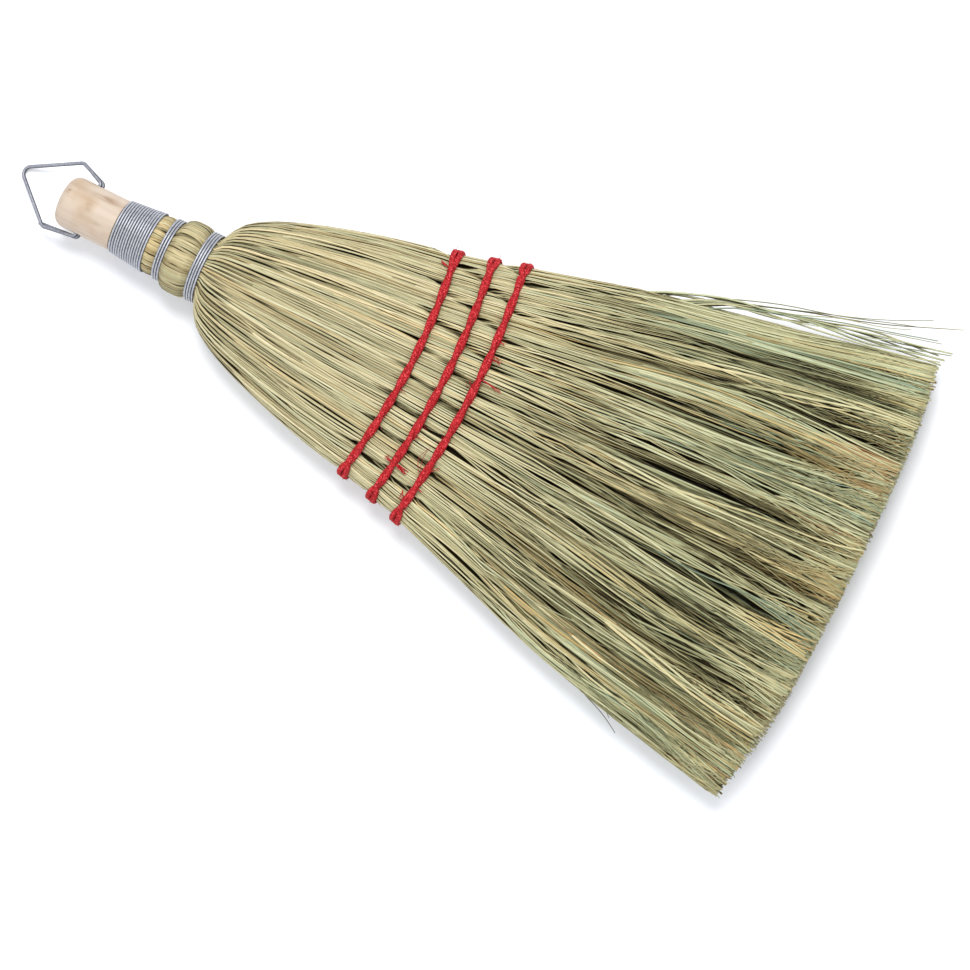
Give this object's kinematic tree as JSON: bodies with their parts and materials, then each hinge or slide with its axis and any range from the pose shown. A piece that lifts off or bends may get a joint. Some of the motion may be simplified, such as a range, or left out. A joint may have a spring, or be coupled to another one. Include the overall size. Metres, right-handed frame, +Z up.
{
  "type": "corn whisk broom",
  "caption": "Hand whisk broom: a short wooden grip with a swinging wire loop, and a flat fan of corn bound with wire windings and stitched with twine.",
  "frame": {"origin": "on the surface that the broom lies on, under the middle of its overall box", "axes": "+X along the broom from the grip to the sweep, +Y across its width, +Z up through its thickness"},
  "size_m": [0.4458, 0.233, 0.0377],
  "materials": {
    "wood": "bare, sanded smooth",
    "wire": "galvanised, satin",
    "corn": "dry plant stalks, matt",
    "inner_corn": "dry plant stalks, matt",
    "twine": "two-ply twisted twine, matt"
  },
  "bodies": {
    "broom": {"handle": "wood", "handle_winding": "wire", "neck_band": "wire", "shoulder_band": "wire", "inner_corn": "inner_corn", "top_hurl": "corn", "bottom_hurl": "corn", "left_shoulder": "corn", "right_shoulder": "corn", "stitch_row_1": "twine", "stitch_row_2": "twine", "stitch_row_3": "twine"},
    "loop": {"hanging_loop": "wire"}
  },
  "joints": [
    {"name": "loop_swing", "type": "hinge", "parent": "broom", "child": "loop", "pos_m": [-0.18039, 0, 0.0188], "axis": [0, 1, 0], "range_deg": [-126, 173]}
  ]
}
